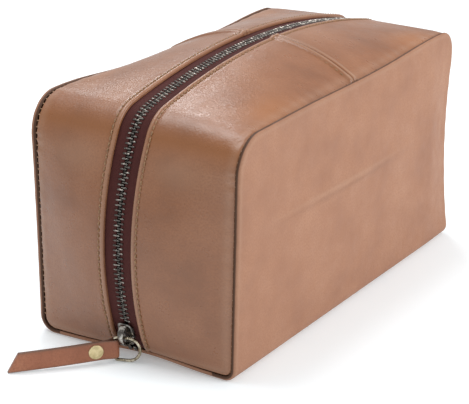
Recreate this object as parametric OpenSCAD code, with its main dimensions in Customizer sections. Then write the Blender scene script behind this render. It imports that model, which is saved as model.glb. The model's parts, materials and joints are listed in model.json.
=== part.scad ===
// Leather shaving kit bag with a zip that runs up one end, over the top and down the other end.
// +Y runs from the slider end to the back, +X to the right and +Z up. The origin is the middle
// of the underside, on the surface that the bag stands on. Every length is in millimetres.

/* [Bag] */
// Length between the end seams
bag_length = 254; // [250:1:258]
// Width between the side panels
bag_width = 127; // [124:1:130]
// Height of the side seams
seam_height = 131; // [129:1:133]
// Corner radius of the side panels
corner_radius = 14; // [12:1:16]
// Radius of the fold along each bottom edge
fold_radius = 11; // [10:0.5:12]
// How far each side panel bellies out
side_belly = 2.5; // [0:0.5:4]

/* [Dome] */
// How far the ends bulge past the seams, beside the zip
end_bulge = 13.3; // [12:0.1:15]
// How far the top rises over the seams, beside the zip
crown = 17.5; // [16:0.1:19]
// Radius of each end along the zip
end_radius = 140; // [136:1:144]
// Height of the fullest point of each end
end_middle = 60; // [58:1:62]
// Radius of the top along the zip
top_radius = 480; // [460:1:500]
// Radius of the bend from an end to the top
bend_radius = 24; // [20:1:28]

/* [Materials] */
// Thickness of the leather
leather = 1.6; // [1.4:0.1:1.8]
// Thickness of the lining cloth
cloth = 0.6; // [0.5:0.1:0.7]
// Air between layers that are stitched together
layer_gap = 0.25; // [0.2:0.05:0.3]

/* [Zip] */
// Width between the leather edges beside the zip
zip_opening = 17; // [16:0.5:18]
// Thickness of the zip tape
tape_thickness = 0.7; // [0.6:0.1:0.8]
// Width of each tape
tape_width = 14.7; // [13:0.1:16]
// Distance between neighbouring teeth of one row
tooth_pitch = 2.7; // [2.6:0.1:3]
// Width of one tooth along its row
tooth_width = 1; // [0.8:0.05:1]
// Length of the slider
slider_length = 14; // [13:0.5:15]
// Width of the slider
slider_width = 9.4; // [9:0.1:10]
// Angle of the closed slider below the fullest point of the end
slider_angle = 18.7; // [18:0.1:19.5]

/* [Pull] */
// Diameter of the ring's wire
wire = 1.7; // [1.6:0.1:1.8]
// Height of the ring between its wire centres
ring_height = 12.8; // [12.6:0.1:13]
// Angle of the ring to the bag's width
ring_turn = 20; // [18:1:22]
// Angle of the strap to the bag's width
strap_turn = 48; // [44:1:52]
// Length of the strap from the ring's bar to its tip
strap_length = 57; // [50:1:62]
// Width of the strap
strap_width = 10.4; // [10.2:0.1:10.6]
// Thickness of the folded strap
strap_thickness = 2.4; // [2.2:0.1:2.6]
// Diameter of the rivet's cap
rivet_diameter = 8; // [7:0.5:8.5]

/* [Hidden] */

leather_colour = "#b38468";
strap_colour = "#a9694c";
lining_colour = "#8a7a68";
tape_colour = "#4a2523";
gunmetal = "#5c5650";
brass = "#bda36a";

half_length = bag_length / 2;
half_width = bag_width / 2;
edge = 0.2;                                   // air where two pieces of one half meet
base_thickness = leather;
fold_x = half_width - fold_radius;            // axis of the bottom fold, which a half turns about
fold_sweep = 74;                              // how far the side panel wraps round the fold
base_half_width = fold_x - 3;
base_half_length = half_length - 5;
panel_bottom = base_thickness + edge;         // lower edge of the end panels
zip_edge = zip_opening / 2;
gusset_edge = half_width - leather - edge;    // outer edge of the gusset, inside the side panel

tape_depth = leather + layer_gap;             // from the leather's face down to the tape's face
chain_depth = tape_depth + tape_thickness / 2;
chain_radius = end_radius - chain_depth;
lining_depth = tape_depth + tape_thickness + layer_gap;
tape_inner = 1.3;                             // from the middle to the tape's inner edge
tooth_reach = 0.9;                            // how far a tooth passes the middle
tooth_root = 3.1;                             // from the middle to a tooth's root
tooth_height = 2.5;
panel_columns = 8;                            // facets across a gusset; the tape's match them
panel_steps = 26;                             // facets along a gusset
stop_length = 3;
stop_height = 2.2;

end_centre = [end_radius - half_length - end_bulge, end_middle];
top_centre = [0, seam_height + crown - top_radius];

plate_gap = 1.5;                              // from the chain's middle to a slider plate
plate_thickness = 1.1;
plate_top = plate_gap + plate_thickness;
bridge_thickness = 1.2;
bridge_width = 3.2;
bridge_inner = 5.4;
bridge_drop = 0.7;                            // from the plate's face down to the arch's centre
wire_lift = 2.8;                              // from the plate's face up to the wire's centre
ring_bar = 4.6;                               // from the bridge to the ring's bar
ring_bow = 2.7;                               // from the bridge to the middle of the ring's bow
strap_droop = 2.1;
tip_slant = 6;
bar_clearance = 0.2;
rivet_place = 10.5;                           // from the bar to the rivet
rivet_rise = 0.9;

// Where the circle inside both the end circle and the top circle has its centre.
function bend_centre() =
    let(
        span = top_centre - end_centre,
        d = norm(span),
        along = span / d,
        r1 = end_radius - bend_radius,
        r2 = top_radius - bend_radius,
        a = (r1 * r1 - r2 * r2 + d * d) / (2 * d),
        h = sqrt(r1 * r1 - a * a)
    )
    end_centre + a * along + h * [along.y, -along.x];

bend = bend_centre();
bend_start = atan2(bend.y - end_centre.y, bend.x - end_centre.x);
bend_end = atan2(bend.y - top_centre.y, bend.x - top_centre.x);
zip_start = 180 + asin((end_middle - panel_bottom) / end_radius);

// The zip's path from the front's lower edge to the middle of the top: [centre, radius, from, to].
ZIP_ARCS = [
    [end_centre, end_radius, zip_start, bend_start],
    [bend, bend_radius, bend_start, bend_end],
    [top_centre, top_radius, bend_end, 90]
];

function arc_length(arc) = arc[1] * (arc[2] - arc[3]) * PI / 180;
ends = [arc_length(ZIP_ARCS[0]), arc_length(ZIP_ARCS[0]) + arc_length(ZIP_ARCS[1])];
zip_half = ends[1] + arc_length(ZIP_ARCS[2]);

// The place [y, z] and the outward direction on one arc, a distance s from where it starts.
function on_arc(arc, s, depth) =
    let(a = arc[2] - s / arc[1] * 180 / PI)
    [arc[0] + (arc[1] - depth) * [cos(a), sin(a)], a];

// The same, a distance s along the whole zip.
function on_zip(s, depth = 0) =
    s > zip_half ? let(p = on_zip(2 * zip_half - s, depth)) [[-p[0].x, p[0].y], 180 - p[1]] :
    s < ends[0] ? on_arc(ZIP_ARCS[0], s, depth) :
    s < ends[1] ? on_arc(ZIP_ARCS[1], s - ends[0], depth) :
    on_arc(ZIP_ARCS[2], s - ends[1], depth);

// The side seam from the front's lower edge to the middle of the top, as a place [y, z].
seam_rise = seam_height - corner_radius - panel_bottom;
seam_corner = corner_radius * PI / 2;
seam_run = half_length - corner_radius;
seam_half = seam_rise + seam_corner + seam_run;
function on_seam(s) =
    s > seam_half ? let(p = on_seam(2 * seam_half - s)) [-p.x, p.y] :
    s < seam_rise ? [-half_length, panel_bottom + s] :
    s < seam_rise + seam_corner ?
        let(a = 180 - (s - seam_rise) / corner_radius * 180 / PI)
        [-seam_run, seam_height - corner_radius] + corner_radius * [cos(a), sin(a)] :
    [s - seam_half, seam_height];

// How far the gusset has fallen from the zip's path to the seam's path, from 0 to 1.
function fall(x) =
    let(v = max(0, (x - zip_edge) / (half_width - zip_edge)))
    0.4 * v + 0.6 * v * v;

// The outer face of the gusset: t runs from 0 at the front's lower edge to 2 at the back's.
function gusset_face(t, x) =
    let(p = on_zip(t * zip_half)[0], q = on_seam(t * seam_half), f = fall(x), r = (1 - f) * p + f * q)
    [x, r.x, r.y];

// The same face, moved inwards by depth.
function gusset_at(t, x, depth) =
    let(
        step = 0.004,
        along = gusset_face(t + step, x) - gusset_face(t - step, x),
        across = gusset_face(t, x + 0.5) - gusset_face(t, x - 0.5),
        n = cross(across, along)
    )
    gusset_face(t, x) - depth * n / norm(n);

// Where the gusset starts, above the fold of the side panel.
function gusset_start(x) =
    let(clear = fold_radius - leather - edge, out = max(0, x - fold_x))
    (fold_radius - sqrt(clear * clear - out * out) - panel_bottom) / seam_half;

// One face of the side panel: [x, z, half length] in rows from the fold's lower end to the top.
function side_rows(depth, inset) =
    let(r = fold_radius - depth, corner = corner_radius - inset, wall_top = seam_height - corner_radius)
    concat(
        [for (a = [-fold_sweep : fold_sweep / 6 : -1]) [fold_x + r * cos(a), fold_radius + r * sin(a), 0]],
        [for (i = [0 : 8]) [half_width - depth, fold_radius + (wall_top - fold_radius) * i / 8, 0]],
        [for (a = [15 : 15 : 90]) [half_width - depth, wall_top + corner * sin(a), 1 - cos(a)]]
    );

function side_face(depth, inset) =
    let(corner = corner_radius - inset)
    [for (row = side_rows(depth, inset))
        let(
            reach = half_length - inset - corner * row.z,
            high = max(0, min(1, (row.y - fold_radius) / (seam_height - fold_radius)))
        )
        [for (u = [-1 : 0.125 : 1])
            [row.x + side_belly * (1 - u * u) * sin(180 * high), reach * u, row.y]]];

// A list of n + 1 numbers, evenly spread.
function spread(from, to, n) = [for (i = [0 : n]) from + (to - from) * i / n];

// A closed sheet between an outer and an inner grid of points, both listed row by row.
module sheet(outer, inner) {
    rows = len(outer);
    cols = len(outer[0]);
    count = rows * cols;
    function at(i, j) = i * cols + j;
    function wall(a, b) = [[a, b, b + count], [a, b + count, a + count]];
    face = [for (i = [0 : rows - 2], j = [0 : cols - 2])
        each [[at(i, j), at(i + 1, j), at(i + 1, j + 1)], [at(i, j), at(i + 1, j + 1), at(i, j + 1)]]];
    back = [for (f = face) [f[2] + count, f[1] + count, f[0] + count]];
    rim = [
        for (j = [0 : cols - 2]) each wall(at(0, j), at(0, j + 1)),
        for (j = [0 : cols - 2]) each wall(at(rows - 1, j + 1), at(rows - 1, j)),
        for (i = [0 : rows - 2]) each wall(at(i + 1, 0), at(i, 0)),
        for (i = [0 : rows - 2]) each wall(at(i, cols - 1), at(i + 1, cols - 1))
    ];
    polyhedron(
        points = [for (grid = [outer, inner]) each [for (row = grid) each row]],
        faces = concat(face, back, rim)
    );
}

// A band of the gusset's surface between two depths: t from start to end, x over the list xs.
module gusset_band(xs, from, to, steps, outer_depth, inner_depth) {
    function grid(depth) =
        [for (i = [0 : steps])
            [for (x = xs)
                let(first = from + gusset_start(x), t = first + (to - first) * i / steps)
                gusset_at(t, x, depth)]];
    sheet(grid(outer_depth), grid(inner_depth));
}

module gusset() {
    seam_gap = layer_gap / 2 / zip_half;
    color(leather_colour)
        gusset_band(
            spread(zip_edge, gusset_edge, panel_columns), 0, 1 - seam_gap, panel_steps,
            0, leather
        );
}

module side_panel() {
    color(leather_colour) sheet(side_face(0, 0), side_face(leather, 0));
}

module lining_side() {
    depth = leather + edge;
    inset = 4;
    color(lining_colour) sheet(side_face(depth, inset), side_face(depth + cloth, inset));
}

module lining_gusset() {
    inner_edge = zip_edge + 2.5;
    outer_edge = gusset_edge - 1.1;
    first = 0.01;
    last = 0.999;
    color(lining_colour)
        for (end = [0, 1])
            mirror([0, end, 0])
                gusset_band(
                    spread(inner_edge, outer_edge, 6), first, last, 20,
                    lining_depth, lining_depth + cloth
                );
}

module zip_tape() {
    shown = spread(tape_inner, zip_edge, 2);
    sewn = [zip_edge + (gusset_edge - zip_edge) / panel_columns, tape_inner + tape_width];
    color(tape_colour)
        gusset_band(
            concat(shown, sewn), 0, 2, 2 * panel_steps,
            tape_depth, tape_depth + tape_thickness
        );
}

// Stands its children on the chain's middle line: +Y points out of the bag, +Z back along the path.
module on_chain(s) {
    place = on_zip(s, chain_depth);
    translate([0, place[0].x, place[0].y]) rotate([place[1], 0, 0]) children();
}

// A row of teeth on the right-hand tape, shifted along the path by a part of the pitch.
module teeth(shift) {
    first = slider_arc() + slider_length / 2 + 1;
    last = 2 * zip_half - 3 * stop_length;
    color(gunmetal)
        for (s = [first + shift * tooth_pitch : tooth_pitch : last])
            on_chain(s)
                translate([-tooth_reach, -tooth_height / 2, -tooth_width / 2])
                    cube([tooth_root + tooth_reach, tooth_height, tooth_width]);
}

// The distance along the zip at which the closed slider stands.
function slider_arc() = (zip_start - 180 - slider_angle) * end_radius * PI / 180;

// A metal clip from one place across the zip to another, with a slot that the tapes lie in.
module stop_clip(from, to, slot_from, slot_to) {
    slot = tape_thickness + 2 * layer_gap;
    color(gunmetal)
        difference() {
            translate([from, -stop_height / 2, -stop_length / 2])
                cube([to - from, stop_height, stop_length]);
            translate([slot_from, -slot / 2, -stop_length])
                cube([slot_to - slot_from, slot, 2 * stop_length]);
        }
}

// The clip on the edge of one tape, below the closed slider.
module top_stop() {
    wall = 0.4;
    bite = 1.8;
    slot_from = tape_inner - layer_gap;
    on_chain(stop_length) stop_clip(slot_from - wall, slot_from + bite, slot_from, tape_width);
}

// The clip across both tapes at the far end of the zip.
module bottom_stop() {
    reach = tooth_root - 0.4;
    on_chain(2 * zip_half - stop_length)
        difference() {
            stop_clip(-tooth_root, tooth_root, -reach, reach);
            for (side = [-1, 1])
                translate([side * tooth_root, 0, 0])
                    cube([1, tape_thickness + 2 * layer_gap, 2 * stop_length], center = true);
        }
}

module base_panel() {
    color(leather_colour)
        translate([-base_half_width, -base_half_length, 0])
            cube([2 * base_half_width, 2 * base_half_length, base_thickness]);
}

module lining_base() {
    color(lining_colour)
        translate([-base_half_width + 1, -base_half_length + 1, base_thickness + layer_gap])
            cube([2 * base_half_width - 2, 2 * base_half_length - 2, cloth]);
}

// The slider's own frame: the chain's middle is the origin, +Y points out of the bag, +Z up the
// path. It is mirrored, and every part drawn in it is the same in the mirror.
module slider_frame() {
    translate([0, end_centre.x, end_centre.y])
        rotate([slider_angle, 0, 0])
            translate([0, -chain_radius, 0])
                mirror([0, 1, 0])
                    children();
}

// One plate of the slider, with round corners, lying across +Y.
module slider_plate() {
    corner = 2.2;
    rotate([90, 0, 0])
        linear_extrude(plate_thickness, center = true)
            hull()
                for (x = [-1, 1], z = [-1, 1])
                    translate([x * (slider_width / 2 - corner), z * (slider_length / 2 - corner)])
                        circle(corner, $fn = 32);
}

module slider_body() {
    post = 1.6;
    flange = [0.6, 0.5, 9];
    color(gunmetal)
        slider_frame() {
            for (side = [-1, 1]) {
                translate([0, side * (plate_gap + plate_thickness / 2), 0]) slider_plate();
                for (x = [-1, 1])
                    translate([x * (slider_width - flange.x) / 2, side * (plate_gap - flange.y / 2), 0])
                        cube(flange + [0, 0.2, 0], center = true);
            }
            translate([0, 0, -slider_length / 2 + 2.5])
                cube([post, 2 * plate_gap + 0.4, 3], center = true);
        }
}

module slider_bridge() {
    outer = bridge_inner + bridge_thickness;
    color(gunmetal)
        slider_frame()
            translate([0, plate_top, 0])
                intersection() {
                    translate([0, -bridge_drop, 0])
                        rotate([0, 90, 0])
                            difference() {
                                cylinder(h = bridge_width, r = outer, center = true, $fn = 64);
                                cylinder(h = bridge_width + 1, r = bridge_inner, center = true, $fn = 64);
                            }
                    translate([0, outer / 2, 0])
                        cube([2 * outer, outer, 2 * outer], center = true);
                }
}

// The middle of the wire inside the bridge, in the bag's frame.
hook_radius = chain_radius + plate_top + wire_lift;
hook = [
    0, end_centre.x - hook_radius * cos(slider_angle), end_centre.y - hook_radius * sin(slider_angle)
];

// The ring's own frame: the origin is in the bridge, +X runs along the ring towards its bar.
module ring_frame() {
    translate(hook) rotate([0, 0, 180 + ring_turn]) children();
}

module pull_ring() {
    r = wire / 2;
    bow = ring_height / 2;
    color(gunmetal)
        ring_frame() {
            translate([-ring_bow, 0, -bow])
                rotate([90, 90, 0])
                    rotate_extrude(angle = -180, $fn = 64) translate([bow, 0]) circle(r, $fn = 32);
            for (z = [0, -ring_height]) {
                translate([-ring_bow, 0, z])
                    rotate([0, 90, 0]) cylinder(h = ring_bow + ring_bar, r = r, $fn = 32);
                translate([ring_bar, 0, z]) sphere(r, $fn = 32);
            }
            translate([ring_bar, 0, -ring_height]) cylinder(h = ring_height, r = r, $fn = 32);
        }
}

// The strap's own frame: the origin is on the ring's bar at mid-height, +X runs to the tip.
module strap_frame() {
    ring_frame()
        translate([ring_bar, 0, -ring_height / 2])
            rotate([0, 0, strap_turn - ring_turn])
                children();
}

module pull_strap() {
    hole = wire / 2 + bar_clearance;
    loop = hole + strap_thickness / 2;
    color(strap_colour)
        strap_frame()
            difference() {
                intersection() {
                    union() {
                        translate([0, 0, -strap_width]) cylinder(h = 2 * strap_width, r = loop, $fn = 48);
                        translate([0, -strap_thickness / 2, -strap_width])
                            cube([strap_length, strap_thickness, 2 * strap_width]);
                    }
                    rotate([90, 0, 0])
                        linear_extrude(2 * loop + 1, center = true)
                            polygon([
                                [-loop - 1, strap_width / 2],
                                [loop, strap_width / 2],
                                [strap_length - tip_slant, strap_width / 2 - strap_droop],
                                [strap_length, -strap_width / 2 - strap_droop],
                                [loop, -strap_width / 2],
                                [-loop - 1, -strap_width / 2]
                            ]);
                }
                cylinder(h = 3 * strap_width, r = hole, center = true, $fn = 48);
            }
}

// The rivet's own frame: on the strap's middle plane, +Z out of the face that looks at the front right.
module rivet_frame() {
    droop = strap_droop * rivet_place / strap_length;
    strap_frame() translate([rivet_place, 0, -droop]) rotate([-90, 0, 0]) children();
}

module rivet_cap() {
    dome_radius = rivet_diameter;
    color(brass)
        rivet_frame()
            translate([0, 0, strap_thickness / 2 + layer_gap])
                intersection() {
                    cylinder(h = rivet_rise, d = rivet_diameter, $fn = 48);
                    translate([0, 0, rivet_rise - dome_radius]) sphere(dome_radius, $fn = 96);
                }
}

module rivet_post() {
    color(brass)
        rivet_frame()
            translate([0, 0, -strap_thickness / 2 - layer_gap - rivet_rise / 2])
                cylinder(h = rivet_rise / 2, d = rivet_diameter - 1, $fn = 48);
}

// Draws a right-hand piece on the left.
module left() {
    mirror([1, 0, 0]) children();
}

// Draws a front piece at the back.
module rear() {
    mirror([0, 1, 0]) children();
}

base_panel();
lining_base();
side_panel();  // side_panel_right
left() side_panel();  // side_panel_left
gusset();  // gusset_front_right
left() gusset();  // gusset_front_left
rear() gusset();  // gusset_rear_right
left() rear() gusset();  // gusset_rear_left
lining_side();  // lining_side_right
left() lining_side();  // lining_side_left
lining_gusset();  // lining_gusset_right
left() lining_gusset();  // lining_gusset_left
zip_tape();  // zip_tape_right
left() zip_tape();  // zip_tape_left
teeth(0);  // zip_teeth_right
left() teeth(0.5);  // zip_teeth_left
top_stop();  // top_stop_right
left() top_stop();  // top_stop_left
bottom_stop();
slider_body();
slider_bridge();
pull_ring();
pull_strap();
rivet_cap();
rivet_post();
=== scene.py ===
"""Leather shaving kit bag: the visible pieces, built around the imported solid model."""
import json
import math

import bpy
import numpy as np
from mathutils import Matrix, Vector


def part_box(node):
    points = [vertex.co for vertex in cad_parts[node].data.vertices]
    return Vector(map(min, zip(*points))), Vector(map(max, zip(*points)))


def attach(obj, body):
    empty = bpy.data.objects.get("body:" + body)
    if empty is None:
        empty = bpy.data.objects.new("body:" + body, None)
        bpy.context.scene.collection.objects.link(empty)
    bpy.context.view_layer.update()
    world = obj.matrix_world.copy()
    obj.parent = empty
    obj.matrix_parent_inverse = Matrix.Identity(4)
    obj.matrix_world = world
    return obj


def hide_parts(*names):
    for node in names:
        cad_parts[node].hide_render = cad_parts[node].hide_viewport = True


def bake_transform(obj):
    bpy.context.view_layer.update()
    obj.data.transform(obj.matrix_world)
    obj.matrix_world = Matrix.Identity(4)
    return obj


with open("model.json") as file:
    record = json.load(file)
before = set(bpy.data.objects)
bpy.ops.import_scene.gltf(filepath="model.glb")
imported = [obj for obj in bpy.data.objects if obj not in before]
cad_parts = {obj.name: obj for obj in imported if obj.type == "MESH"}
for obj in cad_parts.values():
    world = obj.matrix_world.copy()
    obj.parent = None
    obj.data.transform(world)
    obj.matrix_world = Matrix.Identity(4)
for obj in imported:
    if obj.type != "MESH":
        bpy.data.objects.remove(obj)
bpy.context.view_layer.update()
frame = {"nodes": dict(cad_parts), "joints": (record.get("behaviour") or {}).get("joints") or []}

MM = 0.001

# Sizes that the frame tells.
joints = {j["name"]: j for j in frame["joints"]}
side_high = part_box("side_panel_right")[1]
gusset_low, gusset_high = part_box("gusset_front_right")
base_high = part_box("base_panel")[1]
slider_pivot = Vector(joints["slider_travel"]["pos_m"])
hook = Vector(joints["ring_lift"]["pos_m"])
bar_middle = Vector(joints["tab_swing"]["pos_m"])

# Sizes of the leather, the zip and the hardware, as in the solid model but for the rounder seam corners.
LEATHER = 1.6 * MM
CLOTH = 0.6 * MM
GAP = 0.25 * MM
TAPE = 0.7 * MM
TAPE_INNER = 1.3 * MM                   # from the middle of the zip to the tape's edge
TAPE_OUTER = 16 * MM
ZIP_EDGE = 8.5 * MM                     # from the middle of the zip to the leather's edge
FALL_END = 60 * MM                      # where the gusset has come down to the seam
CORNER_RADIUS = 20 * MM                 # 14 mm in the solid model
END_RADIUS = 140 * MM
TOP_RADIUS = 480 * MM
BEND_RADIUS = 24 * MM
SIDE_BELLY = 2.5 * MM
TOOTH_PITCH = 2.7 * MM
TOOTH_REACH = 0.9 * MM                  # how far a tooth passes the middle
TOOTH_ROOT = 3.1 * MM
STOP_LENGTH = 3 * MM
PLATE_GAP = 1.5 * MM                    # from the chain's middle to a slider plate
PLATE = 1.1 * MM
SLIDER_SIZE = Vector((9.4, 14)) * MM
BRIDGE_RADIUS = 6 * MM
WIRE = 1.7 * MM
RING_HEIGHT = 12.8 * MM
RING_BOW = 2.7 * MM                     # from the bridge to the middle of the ring's bow
STRAP_WIDTH = 10.4 * MM
STRAP_THICKNESS = 2.4 * MM
STRAP_LENGTH = 57 * MM
STRAP_DROOP = 2.1 * MM
STRAP_TURN = math.radians(228)          # heading of the strap, from +X towards +Y
RING_TURN = math.radians(200)
TIP_SLANT = 6 * MM
RIVET_PLACE = 10.5 * MM                 # from the ring's bar to the rivet
RIVET_RADIUS = 4 * MM
RIVET_RISE = 0.9 * MM

HALF_LENGTH = side_high.y
SEAM_HEIGHT = side_high.z
HALF_WIDTH = gusset_high.x + LEATHER + 0.2 * MM
TOP_HEIGHT = gusset_high.z
PANEL_BOTTOM = gusset_low.z
BASE_EDGE = base_high.x
TAPE_DEPTH = LEATHER + GAP
CHAIN_DEPTH = TAPE_DEPTH + TAPE / 2
LINING_DEPTH = TAPE_DEPTH + TAPE + GAP

# The turned seams: the wrap's edge rolls round the corner and meets the gusset in a groove.
# On the left the seam has slipped on to the end; on the right it stays on the corner.
FOLD_RADIUS = {"right": 7 * MM, "left": 10 * MM}
WRAP_ROLL = {"right": 1.6 * MM, "left": 2.4 * MM}
WRAP_TURN = math.radians(125)
BOTTOM_ROLL = 1.6 * MM
GUSSET_ROLL = 1.3 * MM
GUSSET_TURN = math.radians(100)
GUSSET_REACH = {"right": 60.9 * MM, "left": 59.1 * MM}
GUSSET_LOWEST = 3.0 * MM
GUSSET_CORNER = {"right": 4.2 * MM, "left": 7 * MM}
CROSS_ROLL = 1.4 * MM
EDGE_ROLL = 1.1 * MM
CREASE = Vector((0, -18 * MM, 78 * MM))  # the middle of the soft fold across each side panel
CREASE_HALF_LENGTH = 60 * MM
CREASE_RISE = 1.3 * MM

# How the bag has settled.
RIGHT_LEAN = 2.4 * MM                   # how far the front corners lean out at the top
LEFT_LEAN = 1.8 * MM
REAR_PINCH = 5.2 * MM
BACK_LEAN = 1.6 * MM                    # how far the front right corner leans back
RIGHT_EAR = 4.2 * MM                    # how far the corners of the top stand up
LEFT_EAR = 3.4 * MM
RIGHT_SAG = 0.6 * MM
EDGE_LIFT = 2.7 * MM                    # the front's lower edge, off the table

STITCH_PITCH = 3.2 * MM
STITCH_FROM_EDGE = 3.0 * MM
CROSS_STITCH = 4.0 * MM                 # from the cross seam to each of its two rows
STITCH_GROOVE = 0.75 * MM               # half the width of the groove that a row of stitches pulls
STITCH_DEPTH = 0.35 * MM
CROSS_RISE = 1.0 * MM                   # the folded layers under the cross seam
SEAM_DEPTH = 1.1 * MM                   # from the faces to the threads in the side seams' groove


# ---------------------------------------------------------------- paths and surfaces

def bend_centre():
    """The centre of the bend, inside both the end's circle and the top's circle."""
    span = TOP_CENTRE - END_CENTRE
    distance = np.hypot(*span)
    along = span / distance
    r1 = END_RADIUS - BEND_RADIUS
    r2 = TOP_RADIUS - BEND_RADIUS
    a = (r1 * r1 - r2 * r2 + distance * distance) / (2 * distance)
    h = math.sqrt(r1 * r1 - a * a)
    return END_CENTRE + a * along + h * np.array([along[1], -along[0]])


END_CENTRE = np.array([slider_pivot.y, slider_pivot.z])
TOP_CENTRE = np.array([0, TOP_HEIGHT - TOP_RADIUS])
BEND_CENTRE = bend_centre()


def angle_of(vector):
    return math.atan2(vector[1], vector[0])


bend_start = angle_of(BEND_CENTRE - END_CENTRE)
bend_end = angle_of(BEND_CENTRE - TOP_CENTRE)
zip_start = math.pi + math.asin((END_CENTRE[1] - PANEL_BOTTOM) / END_RADIUS)
ZIP_ARCS = [
    (END_CENTRE, END_RADIUS, zip_start, bend_start),
    (BEND_CENTRE, BEND_RADIUS, bend_start, bend_end),
    (TOP_CENTRE, TOP_RADIUS, bend_end, math.pi / 2),
]
arc_ends = np.cumsum([radius * (start - end) for _, radius, start, end in ZIP_ARCS])
ZIP_HALF = arc_ends[2]

seam_rise = SEAM_HEIGHT - CORNER_RADIUS - PANEL_BOTTOM
seam_corner = CORNER_RADIUS * math.pi / 2
seam_run = HALF_LENGTH - CORNER_RADIUS
SEAM_HALF = seam_rise + seam_corner + seam_run


def zip_line(s, depth=0.0):
    """y, z and the outward angle, a distance s along the zip from the front's lower edge."""
    s = np.asarray(s, float)
    back = s > ZIP_HALF
    s = np.where(back, 2 * ZIP_HALF - s, s)
    begins = [0, arc_ends[0], arc_ends[1]]
    inside = [s < arc_ends[0], s < arc_ends[1], s >= arc_ends[1]]
    y, z, angle = [], [], []
    for (centre, radius, start, _), begin in zip(ZIP_ARCS, begins):
        a = start - (s - begin) / radius
        y.append(centre[0] + (radius - depth) * np.cos(a))
        z.append(centre[1] + (radius - depth) * np.sin(a))
        angle.append(a)
    y, z, angle = (np.select(inside, v) for v in (y, z, angle))
    return np.where(back, -y, y), z, np.where(back, math.pi - angle, angle)


def seam_line(s):
    """y and z, a distance s along the side seam from the front's lower edge."""
    s = np.asarray(s, float)
    back = s > SEAM_HALF
    s = np.where(back, 2 * SEAM_HALF - s, s)
    a = math.pi - (s - seam_rise) / CORNER_RADIUS
    rising = s < seam_rise
    turning = s < seam_rise + seam_corner
    corner_y = -seam_run + CORNER_RADIUS * np.cos(a)
    corner_z = SEAM_HEIGHT - CORNER_RADIUS + CORNER_RADIUS * np.sin(a)
    y = np.select([rising, turning], [-HALF_LENGTH + 0 * s, corner_y], s - SEAM_HALF)
    z = np.select([rising, turning], [PANEL_BOTTOM + s, corner_z], SEAM_HEIGHT)
    return np.where(back, -y, y), z


def fall(x):
    """How far the gusset has fallen from the zip's path to the seam's path, from 0 to 1."""
    v = np.clip((np.abs(x) - ZIP_EDGE) / (FALL_END - ZIP_EDGE), 0, 1)
    round_over = 1 - np.sqrt(1 - 0.94 * v * v)
    return 0.3 * v + 0.4 * v * v + 0.3 * round_over / (1 - math.sqrt(1 - 0.94))


def gusset_face(t, x):
    """The leather's face over the ends and the top; t runs from 0 at the front to 2 at the back."""
    y1, z1, _ = zip_line(t * ZIP_HALF)
    y2, z2 = seam_line(t * SEAM_HALF)
    f = fall(x)
    return np.stack([x + 0 * t, (1 - f) * y1 + f * y2, (1 - f) * z1 + f * z2], -1)


def gusset_point(t, x, depth):
    """The same face, moved inwards by depth."""
    dt, dx = 0.004, 0.5 * MM
    along = gusset_face(t + dt, x) - gusset_face(t - dt, x)
    across = gusset_face(t, x + dx) - gusset_face(t, x - dx)
    n = np.cross(across, along)
    n /= np.linalg.norm(n, axis=-1, keepdims=True)
    return gusset_face(t, x) - np.asarray(depth)[..., None] * n


def smooth(value):
    """0 below 0 and 1 above 1, with a soft start and end."""
    v = np.clip(value, 0, 1)
    return v * v * (3 - 2 * v)


def peak(distance, width):
    """1 at 0, falling softly to 0 by about twice the width either way."""
    return np.exp(-(distance / width) ** 2)


def edge_roll(distance, radius):
    """How deep a leather edge has rolled in, a distance from its end."""
    d = np.clip(distance, 0, radius)
    return radius - np.sqrt(np.maximum(radius ** 2 - (radius - d) ** 2, 0))


def past_outline(p, q, p_reach, q_reach, corner):
    """The nearest place in a round-cornered outline's core, the way out from there, and the distance."""
    core_p = np.clip(p, -(p_reach - corner), p_reach - corner)
    core_q = np.minimum(q, q_reach - corner)
    far = np.hypot(p - core_p, q - core_q)
    safe = np.maximum(far, 1e-9)
    return core_p, core_q, (p - core_p) / safe, (q - core_q) / safe, far


def roll_over(p, q, p_reach, q_reach, corner, radius, skin=0.0):
    """Takes flat places past the start of a rolled edge round the roll.

    Returns p, q, the depth below the face and how far inside the start of the roll the place is.
    """
    core_p, core_q, way_p, way_q, far = past_outline(p, q, p_reach, q_reach, corner)
    start = corner - radius
    angle = np.maximum(far - start, 0) / radius
    kept = np.maximum(radius - skin, 0.2 * MM)
    rolled = start + kept * np.sin(angle)
    reach = np.where(far > start, rolled, far)
    depth = np.where(far > start, radius - kept * np.cos(angle), skin)
    within = np.minimum(p_reach - corner - np.abs(p), q_reach - corner - q)
    return core_p + way_p * reach, core_q + way_q * reach, depth, start - far + np.maximum(within, 0)


def outline_reach(p, p_reach, q_reach, corner):
    """The q of a round-cornered outline at p."""
    over = np.clip(np.abs(p) - (p_reach - corner), 0, corner)
    return q_reach - corner + np.sqrt(np.maximum(corner ** 2 - over ** 2, 0))


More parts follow.
